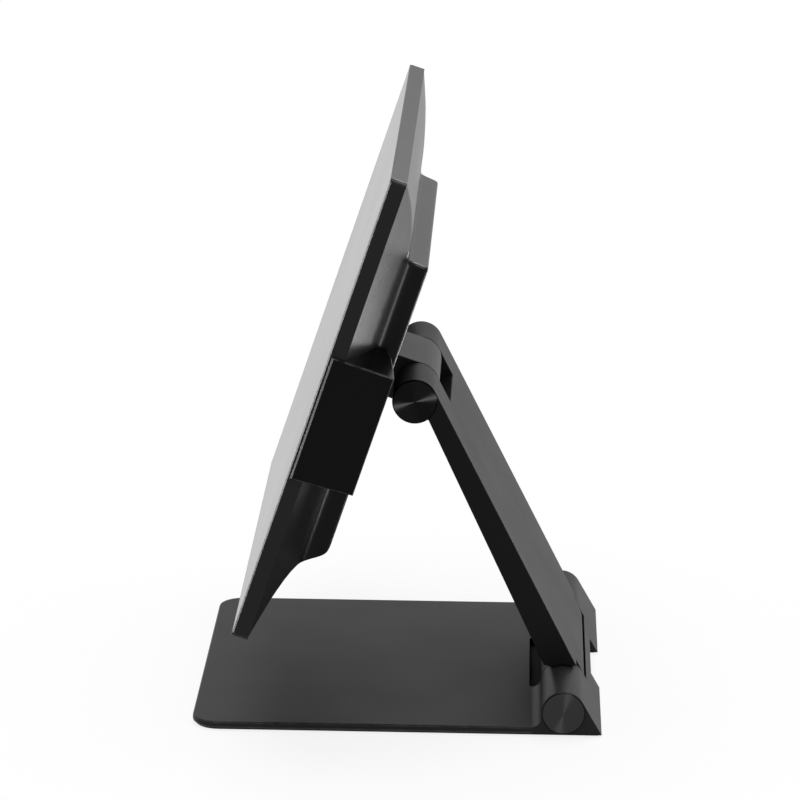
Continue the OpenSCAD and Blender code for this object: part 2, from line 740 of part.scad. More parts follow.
// Circuit board of the reader with its aerial loop
module reader_board() {
    color("#1f4a33") in_display() translate([pcb_x, reader_y, pcb_d]) rotate([0, 90, 0]) {
        translate([0, 0, -pcb_t]) linear_extrude(pcb_t) square([pcb_h - 0.2, pcb_w - 0.2], center = true);
        linear_extrude(0.5) difference() {
            round_rect(pcb_h - loop_in, pcb_w - 3 * loop_in, 2 * loop_w);
            round_rect(pcb_h - loop_in - 2 * loop_w, pcb_w - 3 * loop_in - 2 * loop_w, loop_w);
        }
    }
}

module reader_screws() {
    color("#8d8f92") in_display() at_reader_screws() translate([0, 0, -touch])
        screw(2.6, 1.6, 1.5, reader_screw_l);
}

base_casting();
base_pad();
lower_pin();
lower_caps();
lower_washers();
arm();
upper_pin();
upper_caps();
upper_washers();
neck_bracket();
bracket_screws();
rear_cover();
cover_screws();
frame();
front_glass();
lcd_panel();
chassis();
mainboard();
board_screws();
heat_sink();
io_ports();
touch_board();
power_button();
button_switch();
reader_housing();
reader_cover();
reader_board();
reader_screws();
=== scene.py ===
import json
import math

import bmesh
import bpy
from mathutils import Matrix, Vector


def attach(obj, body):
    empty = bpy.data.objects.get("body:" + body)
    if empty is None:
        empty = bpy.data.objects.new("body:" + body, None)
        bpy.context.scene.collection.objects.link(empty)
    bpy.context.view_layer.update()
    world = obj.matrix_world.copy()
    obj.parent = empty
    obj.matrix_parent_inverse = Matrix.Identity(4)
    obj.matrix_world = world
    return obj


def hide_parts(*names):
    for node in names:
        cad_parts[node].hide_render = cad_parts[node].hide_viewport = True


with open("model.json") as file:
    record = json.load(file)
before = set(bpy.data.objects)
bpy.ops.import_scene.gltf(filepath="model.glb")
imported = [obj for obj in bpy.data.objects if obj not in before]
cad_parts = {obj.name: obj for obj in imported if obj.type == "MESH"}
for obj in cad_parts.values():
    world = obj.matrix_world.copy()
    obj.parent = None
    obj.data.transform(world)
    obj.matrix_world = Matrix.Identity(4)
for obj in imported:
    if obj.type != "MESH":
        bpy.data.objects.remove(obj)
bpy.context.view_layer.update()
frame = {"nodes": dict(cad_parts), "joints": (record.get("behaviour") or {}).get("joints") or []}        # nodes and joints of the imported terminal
nodes = frame["nodes"]
scene = bpy.context.scene
print("frame loaded:", len(nodes), "nodes")

# Lengths are in metres, angles in degrees unless turned to radians where they are written

# Where the display sits: lean of the glass, and the glass centre seen from the upper hinge
displaySeat = {"lean": math.radians(18.5), "behindGlass": 0.0566, "belowCentre": 0.0035}
joints = {joint["name"]: joint for joint in frame["joints"]}
lowerAxis = Vector(joints["arm_fold"]["pos_m"])
upperAxis = Vector(joints["display_tilt"]["pos_m"])
glassUp = Vector((0, math.sin(displaySeat["lean"]), math.cos(displaySeat["lean"])))
glassOut = Vector((0, -math.cos(displaySeat["lean"]), math.sin(displaySeat["lean"])))
glassCentre = upperAxis + glassUp * displaySeat["belowCentre"] + glassOut * displaySeat["behindGlass"]


def axesMatrix(right, up, out, origin):
    columns = (right, up, out, origin)
    return Matrix([[column[row] for column in columns] for row in range(3)] + [[0, 0, 0, 1]])


def displayMatrix(across, up, depth):        # local Z points out of the glass
    origin = glassCentre + Vector((across, 0, 0)) + glassUp * up - glassOut * depth
    return axesMatrix(Vector((1, 0, 0)), glassUp, glassOut, origin)


def fromGlass(point):        # how far across, above and behind the glass centre a point lies
    off = point - glassCentre
    return off.x, off.dot(glassUp), -off.dot(glassOut)


# Node helpers

numberKind, colourKind, vectorKind = "NodeSocketFloat", "NodeSocketColor", "NodeSocketVector"
mixSockets = {"factor": 0, "first": 6, "second": 7, "result": 2}        # the colour sockets of a Mix node


def addNode(tree, kind, values=None, **settings):
    made = tree.nodes.new(kind)
    for key, value in settings.items():
        setattr(made, key, value)
    for key, value in (values or {}).items():
        made.inputs[key].default_value = value
    return made


def newGroup(name, inputs, outputs):
    tree = bpy.data.node_groups.new(name, "ShaderNodeTree")
    for label, kind, start in inputs:
        tree.interface.new_socket(label, in_out="INPUT", socket_type=kind).default_value = start
    for label, kind in outputs:
        tree.interface.new_socket(label, in_out="OUTPUT", socket_type=kind)
    return tree, tree.nodes.new("NodeGroupInput"), tree.nodes.new("NodeGroupOutput")


def feed(tree, socket, value):        # a number or colour is set, an output is linked
    if isinstance(value, (int, float)):
        socket.default_value = value
    elif isinstance(value, (tuple, list)):
        socket.default_value = (*value, 1)
    else:
        tree.links.new(value, socket)


def mathNode(tree, operation, first, second):
    made = addNode(tree, "ShaderNodeMath", operation=operation)
    for socket, value in zip(made.inputs, (first, second)):
        feed(tree, socket, value)
    return made.outputs[0]


def mixColour(tree, factor, first, second):
    made = addNode(tree, "ShaderNodeMix", data_type="RGBA")
    for key, value in (("factor", factor), ("first", first), ("second", second)):
        feed(tree, made.inputs[mixSockets[key]], value)
    return made.outputs[mixSockets["result"]]


def objectPlace(tree):
    return addNode(tree, "ShaderNodeTexCoord").outputs["Object"]


def noiseOver(tree, vector, values, scale=None):
    made = addNode(tree, "ShaderNodeTexNoise", values)
    tree.links.new(vector, made.inputs["Vector"])
    if scale is not None:
        tree.links.new(scale, made.inputs["Scale"])
    return made.outputs["Fac"]


def spreadOut(tree, value, span, low=0, high=1):        # the busy span of a noise, drawn out from low to high
    made = addNode(tree, "ShaderNodeMapRange", {"From Min": span[0], "From Max": span[1]})
    tree.links.new(value, made.inputs["Value"])
    feed(tree, made.inputs["To Min"], low)
    feed(tree, made.inputs["To Max"], high)
    return made.outputs["Result"]


# Shared effects

grainSet = {"fineShare": 0.55, "slowShare": 0.45, "slowScale": 22, "span": (0.3, 0.7)}
wearAndHighlightSpan, smearSpan = (0.35, 0.7), (0.3, 0.72)


def makeFineGrain():        # moulded or bead-blasted skin: fine height, slow drift of tone
    tree, inn, out = newGroup("fineGrain",
        [("Scale", numberKind, 1500), ("Dark", colourKind, (0.01, 0.01, 0.01, 1)),
         ("Light", colourKind, (0.02, 0.02, 0.02, 1)), ("Rough Low", numberKind, 0.4),
         ("Rough High", numberKind, 0.5)],
        [("Color", colourKind), ("Roughness", numberKind), ("Height", numberKind)])
    place = objectPlace(tree)
    fine = noiseOver(tree, place, {"Detail": 3, "Roughness": 0.6}, inn.outputs["Scale"])
    slow = noiseOver(tree, place, {"Scale": grainSet["slowScale"], "Detail": 4})
    tone = mathNode(tree, "ADD", mathNode(tree, "MULTIPLY", fine, grainSet["fineShare"]),
                    mathNode(tree, "MULTIPLY", slow, grainSet["slowShare"]))
    colour = mixColour(tree, tone, inn.outputs["Dark"], inn.outputs["Light"])
    rough = spreadOut(tree, tone, grainSet["span"], inn.outputs["Rough Low"], inn.outputs["Rough High"])
    tree.links.new(colour, out.inputs["Color"])
    tree.links.new(rough, out.inputs["Roughness"])
    tree.links.new(fine, out.inputs["Height"])
    return tree


def makeEdgeWearAndHighlight():        # handled edges, partly wear and partly a painted highlight: the rim faces that the softening leaves, broken up by noise
    tree, inn, out = newGroup("edgeWearAndHighlight", [("Amount", numberKind, 0.5), ("Scale", numberKind, 140)],
                              [("Mask", numberKind)])
    rim = addNode(tree, "ShaderNodeAttribute", attribute_name="rim")
    patch = noiseOver(tree, objectPlace(tree), {"Detail": 5, "Roughness": 0.65}, inn.outputs["Scale"])
    wornAndHighlit = mathNode(tree, "MULTIPLY", rim.outputs["Fac"], spreadOut(tree, patch, wearAndHighlightSpan))
    tree.links.new(mathNode(tree, "MULTIPLY", wornAndHighlit, inn.outputs["Amount"]), out.inputs["Mask"])
    return tree


def makeSmears():        # faint wiping marks in a polished face, as a drift of roughness
    tree, inn, out = newGroup("smears",
        [("Scale", numberKind, 14), ("Low", numberKind, 0.1), ("High", numberKind, 0.2)],
        [("Roughness", numberKind)])
    turn = addNode(tree, "ShaderNodeMapping", {"Rotation": (0.4, 0.3, 0.7), "Scale": (1, 3.2, 1)})
    tree.links.new(objectPlace(tree), turn.inputs["Vector"])
    swirl = noiseOver(tree, turn.outputs["Vector"], {"Detail": 5, "Distortion": 0.8}, inn.outputs["Scale"])
    rough = spreadOut(tree, swirl, smearSpan, inn.outputs["Low"], inn.outputs["High"])
    tree.links.new(rough, out.inputs["Roughness"])
    return tree


def makeTurnedRings():        # lathe marks round an axis that lies along X
    tree, inn, out = newGroup("turnedRings", [("Axis", vectorKind, (0, 0, 0)), ("Rings", numberKind, 2600)],
                              [("Height", numberKind)])
    off = addNode(tree, "ShaderNodeVectorMath", operation="SUBTRACT")
    tree.links.new(objectPlace(tree), off.inputs[0])
    tree.links.new(inn.outputs["Axis"], off.inputs[1])
    flat = addNode(tree, "ShaderNodeVectorMath", {1: (0, 1, 1)}, operation="MULTIPLY")        # leaves X out
    tree.links.new(off.outputs[0], flat.inputs[0])
    radius = addNode(tree, "ShaderNodeVectorMath", operation="LENGTH")
    tree.links.new(flat.outputs[0], radius.inputs[0])
    scaled = mathNode(tree, "MULTIPLY", radius.outputs["Value"], inn.outputs["Rings"])
    lines = addNode(tree, "ShaderNodeTexNoise", {"Scale": 1, "Detail": 2}, noise_dimensions="1D")
    tree.links.new(scaled, lines.inputs["W"])
    tree.links.new(lines.outputs["Fac"], out.inputs["Height"])
    return tree


def makeDrawnLines():        # lines that rolling, drawing or grinding leaves along one way
    tree, inn, out = newGroup("drawnLines",
        [("Stretch", vectorKind, (40, 900, 900)), ("Dark", colourKind, (0.3, 0.3, 0.3, 1)),
         ("Light", colourKind, (0.5, 0.5, 0.5, 1))],
        [("Color", colourKind), ("Height", numberKind)])
    drawn = addNode(tree, "ShaderNodeVectorMath", operation="MULTIPLY")
    tree.links.new(objectPlace(tree), drawn.inputs[0])
    tree.links.new(inn.outputs["Stretch"], drawn.inputs[1])
    lines = noiseOver(tree, drawn.outputs[0], {"Scale": 1, "Detail": 3})
    colour = mixColour(tree, lines, inn.outputs["Dark"], inn.outputs["Light"])
    tree.links.new(colour, out.inputs["Color"])
    tree.links.new(lines, out.inputs["Height"])
    return tree


fineGrain, edgeWearAndHighlight, smears = makeFineGrain(), makeEdgeWearAndHighlight(), makeSmears()
turnedRings, drawnLines = makeTurnedRings(), makeDrawnLines()


def placeGroup(tree, group, values):
    made = tree.nodes.new("ShaderNodeGroup")
    made.node_tree = group
    for key, value in values.items():
        made.inputs[key].default_value = (*value, 1) if made.inputs[key].type == "RGBA" else value
    return made


# Materials

grainedSet = {"sheenRough": 0.45, "wearAndHighlightScale": 160, "bumpDeep": 0.0002}
linedSet = {"bumpDeep": 0.0001}


def newMaterial(name, fixed):        # fixed: sockets that are the same all over
    made = bpy.data.materials.new(name)
    made.use_nodes = True
    tree = made.node_tree
    shader = tree.nodes["Principled BSDF"]
    for key, value in fixed.items():
        shader.inputs[key].default_value = value
    return made, tree, shader


def bumpFrom(tree, shader, height, strength, distance):
    bump = addNode(tree, "ShaderNodeBump", {"Strength": strength, "Distance": distance})
    tree.links.new(height, bump.inputs["Height"])
    tree.links.new(bump.outputs["Normal"], shader.inputs["Normal"])


def grainedMaterial(name, finish):        # blasted metal or moulded plastic whose edges are painted lighter: rubbed wear and a painted highlight
    made, tree, shader = newMaterial(name, {"Specular IOR Level": finish["gloss"],
                                            "Sheen Weight": finish.get("sheen", 0),
                                            "Sheen Roughness": grainedSet["sheenRough"]})
    grain = placeGroup(tree, fineGrain, {"Scale": finish["grain"], "Dark": finish["dark"],
                                         "Light": finish["light"], "Rough Low": finish["rough"][0],
                                         "Rough High": finish["rough"][1]})
    wearAndHighlight = placeGroup(tree, edgeWearAndHighlight, {"Amount": finish["wearAndHighlight"], "Scale": grainedSet["wearAndHighlightScale"]})
    # the rim faces are painted lighter: rubbed wear, and a painted highlight where an edge would catch the
    # light
    colour = mixColour(tree, wearAndHighlight.outputs["Mask"], grain.outputs["Color"], finish["wearAndHighlightTone"])
    tree.links.new(colour, shader.inputs["Base Color"])
    tree.links.new(grain.outputs["Roughness"], shader.inputs["Roughness"])
    bumpFrom(tree, shader, grain.outputs["Height"], finish["bump"], grainedSet["bumpDeep"])
    return made


def linedMetal(name, finish):        # bare metal with drawn lines
    made, tree, shader = newMaterial(name, {"Metallic": 1, "Roughness": finish["rough"]})
    lines = placeGroup(tree, drawnLines, {"Stretch": finish["stretch"], "Dark": finish["dark"],
                                          "Light": finish["light"]})
    tree.links.new(lines.outputs["Color"], shader.inputs["Base Color"])
    bumpFrom(tree, shader, lines.outputs["Height"], finish["bump"], linedSet["bumpDeep"])
    return made


castingFinish = {"dark": (0.0050, 0.0050, 0.0053), "light": (0.0090, 0.0090, 0.0094), "grain": 2600,
                 "rough": (0.40, 0.48), "gloss": 0.085, "bump": 0.10, "wearAndHighlight": 0.5,
                 "wearAndHighlightTone": (0.05, 0.05, 0.052)}
# the base's rim is painted lighter, and over more of it, than the castings': a painted highlight along its
# top edge
baseFinish = {**castingFinish, "dark": (0.016, 0.016, 0.0165), "light": (0.024, 0.024, 0.0246), "wearAndHighlight": 0.7,
              "wearAndHighlightTone": (0.09, 0.09, 0.093)}
neckFinish = {**castingFinish, "gloss": 0.19}
housingFinish = {"dark": (0.0070, 0.0070, 0.0073), "light": (0.0110, 0.0110, 0.0114), "grain": 1900,
                 "rough": (0.26, 0.31), "gloss": 0.057, "sheen": 0.03, "bump": 0.10, "wearAndHighlight": 0.5,
                 "wearAndHighlightTone": (0.06, 0.06, 0.062)}
frameFinish = {**housingFinish, "dark": (0.016, 0.016, 0.0164), "light": (0.022, 0.022, 0.0225),
               "rough": (0.30, 0.36), "gloss": 0.065}
# the reader's rim is painted light grey all round: a painted highlight on its bevels and chamfers
readerFinish = {"dark": (0.0028, 0.0028, 0.0029), "light": (0.0054, 0.0054, 0.0056), "grain": 1200,
                "rough": (0.22, 0.28), "gloss": 0.05, "bump": 0.03, "wearAndHighlight": 1.0,
                "wearAndHighlightTone": (0.12, 0.12, 0.123)}
rubberFinish = {"dark": (0.010, 0.010, 0.010), "light": (0.022, 0.022, 0.022), "grain": 900,
                "rough": (0.7, 0.85), "gloss": 0.25, "bump": 0.3, "wearAndHighlight": 0.0, "wearAndHighlightTone": (0.03, 0.03, 0.03)}
buttonFinish = {"dark": (0.020, 0.020, 0.021), "light": (0.030, 0.030, 0.031), "grain": 1600,
                "rough": (0.4, 0.5), "gloss": 0.35, "bump": 0.08, "wearAndHighlight": 0.3, "wearAndHighlightTone": (0.09, 0.09, 0.09)}
socketFinish = {"dark": (0.010, 0.010, 0.011), "light": (0.018, 0.018, 0.019), "grain": 1400,
                "rough": (0.5, 0.6), "gloss": 0.3, "bump": 0.05, "wearAndHighlight": 0.0, "wearAndHighlightTone": (0.03, 0.03, 0.03)}
boardFinish = {"dark": (0.004, 0.045, 0.020), "light": (0.009, 0.075, 0.034), "grain": 420,
               "rough": (0.32, 0.45), "gloss": 0.5, "bump": 0.1, "wearAndHighlight": 0.0, "wearAndHighlightTone": (0.1, 0.1, 0.1)}
steelFinish = {"dark": (0.42, 0.42, 0.43), "light": (0.62, 0.62, 0.63), "stretch": (1600, 90, 90),
               "rough": 0.28, "bump": 0.1}
washerFinish = {**steelFinish, "dark": (0.02, 0.02, 0.021), "light": (0.05, 0.05, 0.052), "rough": 0.4}
screwFinish = {"dark": (0.10, 0.10, 0.105), "light": (0.16, 0.16, 0.165), "stretch": (900, 900, 900),
               "rough": 0.36, "bump": 0.08}
sheetFinish = {"dark": (0.38, 0.38, 0.39), "light": (0.52, 0.52, 0.53), "stretch": (18, 420, 420),
               "rough": 0.38, "bump": 0.08}
sinkFinish = {"dark": (0.07, 0.07, 0.075), "light": (0.12, 0.12, 0.125), "stretch": (420, 22, 22),
              "rough": 0.42, "bump": 0.08}
shellFinish = {"dark": (0.34, 0.34, 0.35), "light": (0.46, 0.46, 0.47), "stretch": (60, 700, 700),
               "rough": 0.3, "bump": 0.05}

castingBlack = grainedMaterial("castingBlack", castingFinish)
baseBlack = grainedMaterial("baseBlack", baseFinish)
neckBlack = grainedMaterial("neckBlack", neckFinish)
housingBlack = grainedMaterial("housingBlack", housingFinish)
frameBlack = grainedMaterial("frameBlack", frameFinish)
readerBlack = grainedMaterial("readerBlack", readerFinish)
padRubber = grainedMaterial("padRubber", rubberFinish)
buttonGrey = grainedMaterial("buttonGrey", buttonFinish)
socketPlastic = grainedMaterial("socketPlastic", socketFinish)
circuitGreen = grainedMaterial("circuitGreen", boardFinish)
groundSteel = linedMetal("groundSteel", steelFinish)
darkWasher = linedMetal("darkWasher", washerFinish)
platedScrew = linedMetal("platedScrew", screwFinish)
sheetSteel = linedMetal("sheetSteel", sheetFinish)
sinkAluminium = linedMetal("sinkAluminium", sinkFinish)
socketShell = linedMetal("socketShell", shellFinish)

# rim: a darker colour painted on the caps' rim bevel, a painted shade that damps a lamp's glint there
capFinish = {"dark": (0.006, 0.006, 0.0063), "light": (0.012, 0.012, 0.0125), "rim": (0.003, 0.003, 0.003),
             "rough": 0.33, "rings": 5200, "bump": 0.06, "bumpDeep": 0.00005}
# the lower caps are painted lighter than the upper ones: painted light, for the brighter tone that falls on
# them
lowCapLitFinish = {**capFinish, "dark": (0.024, 0.024, 0.0245), "light": (0.044, 0.044, 0.0445),
                "rim": (0.014, 0.014, 0.0142)}


def spunCapMaterial(name, axis, finish):        # turned disc: rings, and a highlight drawn along the spokes by the gloss; its rim bevel is painted dark, a painted shade
    made, tree, shader = newMaterial(name, {"Metallic": 1, "Roughness": finish["rough"], "Anisotropic": 1,
                                            "Anisotropic Rotation": 0.25,
                                            "Specular Tint": (0.1, 0.1, 0.1, 1)})
    rings = placeGroup(tree, turnedRings, {"Axis": axis, "Rings": finish["rings"]}).outputs["Height"]
    colour = mixColour(tree, rings, finish["dark"], finish["light"])
    # painted shade: the rim bevel is painted darker than the disc
    rim = addNode(tree, "ShaderNodeAttribute", attribute_name="rim")
    tree.links.new(mixColour(tree, rim.outputs["Fac"], colour, finish["rim"]), shader.inputs["Base Color"])
    turned = addNode(tree, "ShaderNodeTangent", direction_type="RADIAL", axis="X")
    tree.links.new(turned.outputs["Tangent"], shader.inputs["Tangent"])
    bumpFrom(tree, shader, rings, finish["bump"], finish["bumpDeep"])
    return made


# the lower caps take the lighter, painted-light copy of the cap finish
spunLowerLit = spunCapMaterial("spunLowerLit", lowerAxis, lowCapLitFinish)
spunUpper = spunCapMaterial("spunUpper", upperAxis, capFinish)

glassFinish = {"ink": (0.004, 0.004, 0.0042), "screen": (0.010, 0.010, 0.011), "viewWide": 0.305,
               "viewHigh": 0.229, "gloss": 0.3, "wipeScale": 6, "rough": (0.18, 0.20)}


def touchGlassMaterial():        # black printed border round the dark viewing area, under polished glass
    made, tree, shader = newMaterial("touchGlass", {"Specular IOR Level": glassFinish["gloss"]})
    lay = addNode(tree, "ShaderNodeMapping", vector_type="TEXTURE", values={
        "Location": glassCentre, "Rotation": (math.pi / 2 - displaySeat["lean"], 0, 0)})
    tree.links.new(objectPlace(tree), lay.inputs["Vector"])
    split = addNode(tree, "ShaderNodeSeparateXYZ")
    tree.links.new(lay.outputs["Vector"], split.inputs["Vector"])
    within = []
    for axis, span in (("X", glassFinish["viewWide"]), ("Y", glassFinish["viewHigh"])):
        away = mathNode(tree, "ABSOLUTE", split.outputs[axis], 0)
        within.append(mathNode(tree, "LESS_THAN", away, span / 2))
    inside = mathNode(tree, "MULTIPLY", *within)
    colour = mixColour(tree, inside, glassFinish["ink"], glassFinish["screen"])
    tree.links.new(colour, shader.inputs["Base Color"])
    wipe = placeGroup(tree, smears, {"Scale": glassFinish["wipeScale"], "Low": glassFinish["rough"][0],
                                     "High": glassFinish["rough"][1]})
    tree.links.new(wipe.outputs["Roughness"], shader.inputs["Roughness"])
    return made


touchGlass = touchGlassMaterial()
print("materials ready:", len(bpy.data.materials))


# Mesh helpers

softSet = {"weld": 0.000004, "flat": 0.4, "over": 30, "steps": 3, "round": 0.5, "sharp": 50}
madeSharp = 40        # hard edges of the pieces that are made here from loops


def addPiece(name, mesh, body, material):
    piece = bpy.data.objects.new(name, mesh)
    scene.collection.objects.link(piece)
    mesh.materials.append(material)
    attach(piece, body)
    return piece


def meshFrom(form, name, sharpOver):        # smooth shading, with a hard edge wherever faces meet steeply
    for face in form.faces:
        face.smooth = True
    for edge in form.edges:
        edge.smooth = not (len(edge.link_faces) == 2 and edge.calc_face_angle() > math.radians(sharpOver))
    mesh = bpy.data.meshes.new(name)
    form.to_mesh(mesh)
    form.free()
    return mesh


def weldedForm(form):        # the triangles of a CAD solid share their corners again
    bmesh.ops.remove_doubles(form, verts=form.verts[:], dist=softSet["weld"])


def widenHollow(form, toWorld, hollow):        # the cover's side walls run into the slopes in a wider arc
    rows = {}        # corners by their depth to a tenth of a millimetre
    for vert in form.verts:
        aside, _, behind = fromGlass(toWorld @ vert.co)
        depth = round(behind, 4)
        if hollow["from"] < depth < hollow["to"] and abs(aside) > hollow["inside"]:
            rows.setdefault(depth, []).append((vert, aside))
    for depth, row in rows.items():
        outer = max(abs(aside) for vert, aside in row)
        drop = math.sqrt(max(0, hollow["radius"] ** 2 - (hollow["centre"][1] - depth) ** 2))
        arc = hollow["centre"][0] - drop
        for vert, aside in row:
            share = (abs(aside) - hollow["inside"]) / (outer - hollow["inside"])
            vert.co.x += math.copysign(max(0, arc - outer) * share, aside)


def widenFront(form, toWorld, front):        # a broader chamfer round the frame's front edge
    inward = (front["corner"] - front["wide"]) / (front["corner"] - front["was"])
    for vert in form.verts:
        aside, up, depth = fromGlass(toWorld @ vert.co)
        beyond = [max(0, abs(way) - half) for way, half in zip((aside, up), front["half"])]
        if abs(depth) < front["near"] and max(beyond) > front["corner"] - front["was"] - front["near"]:
            shift = [math.copysign(far * (1 - inward), -way) for way, far in zip((aside, up), beyond)]
            vert.co += Vector((shift[0], 0, 0)) + glassUp * shift[1]
        elif abs(depth - front["was"]) < front["near"]:
            vert.co -= glassOut * (front["wide"] - front["was"])


def softened(name, node, body, material, soft):        # the CAD form with its corners eased
    form = bmesh.new()
    form.from_mesh(nodes[node].data)
    if "hollow" in soft:
        widenHollow(form, nodes[node].matrix_world, soft["hollow"])
    if "front" in soft:
        widenFront(form, nodes[node].matrix_world, soft["front"])
    rim = form.faces.layers.float.new("rim")
    weldedForm(form)
    bmesh.ops.dissolve_limit(form, angle_limit=math.radians(softSet["flat"]), verts=form.verts[:],
                             edges=form.edges[:])
    over = math.radians(soft.get("over", softSet["over"]))
    steep = [edge for edge in form.edges if len(edge.link_faces) == 2 and edge.calc_face_angle() > over]
    eased = bmesh.ops.bevel(form, geom=steep, offset=soft["ease"], offset_type="OFFSET",
                            segments=soft.get("steps", softSet["steps"]), profile=softSet["round"],
                            affect="EDGES", clamp_overlap=False, loop_slide=True)
    for face in eased["faces"]:
        face[rim] = 1
    for face in form.faces:        # the narrow chamfers of the CAD form count as rim too
        if face.calc_area() < soft.get("strip", 0) * max(edge.calc_length() for edge in face.edges):
            face[rim] = 1
    piece = addPiece(name, meshFrom(form, name, softSet["sharp"]), body, material)
    weigh = piece.modifiers.new("evenNormals", "WEIGHTED_NORMAL")
    weigh.keep_sharp = True
    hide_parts(node)
    return piece


def islandMiddles(node):        # the middle of each loose solid in a CAD node, always in the same order
    form = bmesh.new()
    form.from_mesh(nodes[node].data)
    weldedForm(form)
    left, middles = set(form.verts), []
    while left:
        island, edge = set(), {left.pop()}
        while edge:
            island |= edge
            edge = {link.other_vert(vert) for vert in edge for link in vert.link_edges} - island
        left -= island
        box = [[pick(vert.co[axis] for vert in island) for pick in (min, max)] for axis in range(3)]
        middles.append(Vector([(low + high) / 2 for low, high in box]))
    form.free()
    return sorted(middles, key=tuple)


def plainNode(node, material):        # a CAD solid whose form is right as it is
    slots = nodes[node].data.materials
    slots.clear()
    slots.append(material)


def tubeForm(form, loops, shade=0):        # skin over a row of loops, closed at both ends
    rows = [[form.verts.new(point) for point in loop] for loop in loops]
    faces = [form.faces.new(rows[0][::-1]), form.faces.new(rows[-1])]
    for first, second in zip(rows, rows[1:]):
        for step in range(len(first)):
            after = (step + 1) % len(first)
            faces.append(form.faces.new((first[step], first[after], second[after], second[step])))
    for face in faces:
        face.material_index = shade


def roundLoop(centre, wide, high, radius):        # 16 points round a rectangle with round corners
    points = []
    for quarter, (sideX, sideY) in enumerate(((1, 1), (-1, 1), (-1, -1), (1, -1))):
        for step in range(4):
            turn = math.radians(90 * quarter + 30 * step)
            points.append((centre[0] + sideX * (wide / 2 - radius) + radius * math.cos(turn),
                           centre[1] + sideY * (high / 2 - radius) + radius * math.sin(turn)))
    return points


# Stand

standEdges = {"base": {"ease": 0.00028, "over": 28}, "arm": {"ease": 0.0005}, "neck": {"ease": 0.0005},
              "caps": {"ease": 0.00015, "steps": 2, "strip": 0.0012}}
softened("baseCasting", "base_casting", "base", baseBlack, standEdges["base"])
softened("armCasting", "arm", "arm", castingBlack, standEdges["arm"])
softened("neckBracket", "neck_bracket", "display", neckBlack, standEdges["neck"])
lowerCaps = softened("lowerEndCaps", "lower_caps", "base", spunLowerLit, standEdges["caps"])
upperCaps = softened("upperEndCaps", "upper_caps", "pivot", spunUpper, standEdges["caps"])
for node, material in (("base_pad", padRubber), ("lower_pin", groundSteel), ("upper_pin", groundSteel),
                       ("lower_washers", darkWasher), ("upper_washers", darkWasher)):
    plainNode(node, material)
print("stand dressed")

# Display

sideHollow = {"from": 0.0233, "to": 0.0300, "inside": 0.100, "centre": (0.1242, 0.0301), "radius": 0.007}
frameFront = {"was": 0.0004, "wide": 0.00085, "corner": 0.0022, "half": (0.1698, 0.1298), "near": 0.00001}
displayEdges = {"cover": {"ease": 0.00025, "over": 40, "steps": 2, "hollow": sideHollow},
                "frame": {"ease": 0.00012, "strip": 0.0017, "front": frameFront},
                "glass": {"ease": 0.00008, "over": 25, "steps": 2},
                "readerCover": {"ease": 0.00012, "over": 20, "strip": 0.0007},
                "readerHousing": {"ease": 0.0005, "over": 35},
                "button": {"ease": 0.0003}}
rearCover = softened("rearCover", "rear_cover", "display", housingBlack,
                     displayEdges["cover"])
displayFrame = softened("displayFrame", "frame", "display", frameBlack,
                        displayEdges["frame"])
softened("frontGlass", "front_glass", "display", touchGlass, displayEdges["glass"])
softened("readerShell", "reader_housing", "display", readerBlack,
         displayEdges["readerHousing"])
readerFace = softened("readerFace", "reader_cover", "display", readerBlack,
                      displayEdges["readerCover"])
softened("powerKey", "power_button", "button", buttonGrey, displayEdges["button"])
for node, material in (("board_screws", platedScrew), ("reader_screws", platedScrew),
                       ("lcd_panel", sheetSteel), ("chassis", sheetSteel), ("mainboard", circuitGreen),
                       ("touch_board", circuitGreen), ("reader_board", circuitGreen),
                       ("heat_sink", sinkAluminium), ("button_switch", socketPlastic)):
    plainNode(node, material)

# Screws: pan heads with a six-lobed recess and threaded shanks; the head looks to the rear

screwShape = {"lobes": 6, "sides": 24, "root": 0.86, "tip": 0.7, "valley": 0.3, "crest": 0.8,
              # shares of the head's radius and height, and depth of the lobes, from the recess outwards
              "head": [(0.40, 0.45, 0.13), (0.43, 0.95, 0.13), (0.48, 1, 0.10), (0.72, 0.96, 0),
                       (0.90, 0.78, 0), (0.985, 0.50, 0), (1, 0.25, 0), (1, 0, 0)]}
bracketScrew = {"head": 0.0036, "high": 0.0022, "shank": 0.0020, "long": 0.0120, "pitch": 0.0007,
                "places": [(x, y, 0.0370) for x in (-0.0375, 0.0375) for y in (-0.0410, 0.0340)]}
coverScrew = {"head": 0.0028, "high": 0.0018, "shank": 0.0015, "long": 0.0042, "pitch": 0.0005,
              "seat": 0.0132}
coverScrew["places"] = [(*fromGlass(middle)[:2], coverScrew["seat"])
                        for middle in islandMiddles("cover_screws")]


def makeScrews(name, node, screw):
    shank, pitch = screw["shank"], screw["pitch"]
    root, valley, crest = (screwShape[key] for key in ("root", "valley", "crest"))
    rings = [(screw["head"] * reach, -screw["high"] * rise, lobe) for reach, rise, lobe in screwShape["head"]]
    rings.append((shank * root, 0, 0))
    for step in range(int(screw["long"] / pitch) - 1):
        rings += [(shank * root, pitch * (step + valley), 0), (shank, pitch * (step + crest), 0)]
    rings.append((shank * screwShape["tip"], screw["long"], 0))
    turns = [2 * math.pi * step / screwShape["sides"] for step in range(screwShape["sides"])]

    def ringPoints(seat, reach, height, lobe):
        aways = [reach * (1 + lobe * math.cos(screwShape["lobes"] * turn)) for turn in turns]
        return [seat @ Vector((away * math.cos(turn), away * math.sin(turn), height))
                for away, turn in zip(aways, turns)]

    form = bmesh.new()
    for place in screw["places"]:
        seat = displayMatrix(*place)
        tubeForm(form, [ringPoints(seat, *ring) for ring in rings])
    bmesh.ops.recalc_face_normals(form, faces=form.faces[:])
    piece = addPiece(name, meshFrom(form, name, madeSharp), "display", platedScrew)
    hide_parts(node)


makeScrews("bracketScrews", "bracket_screws", bracketScrew)
makeScrews("coverScrews", "cover_screws", coverScrew)

# Sockets: thin shells with tongues for data, bored blocks with a pin for power; they open downwards

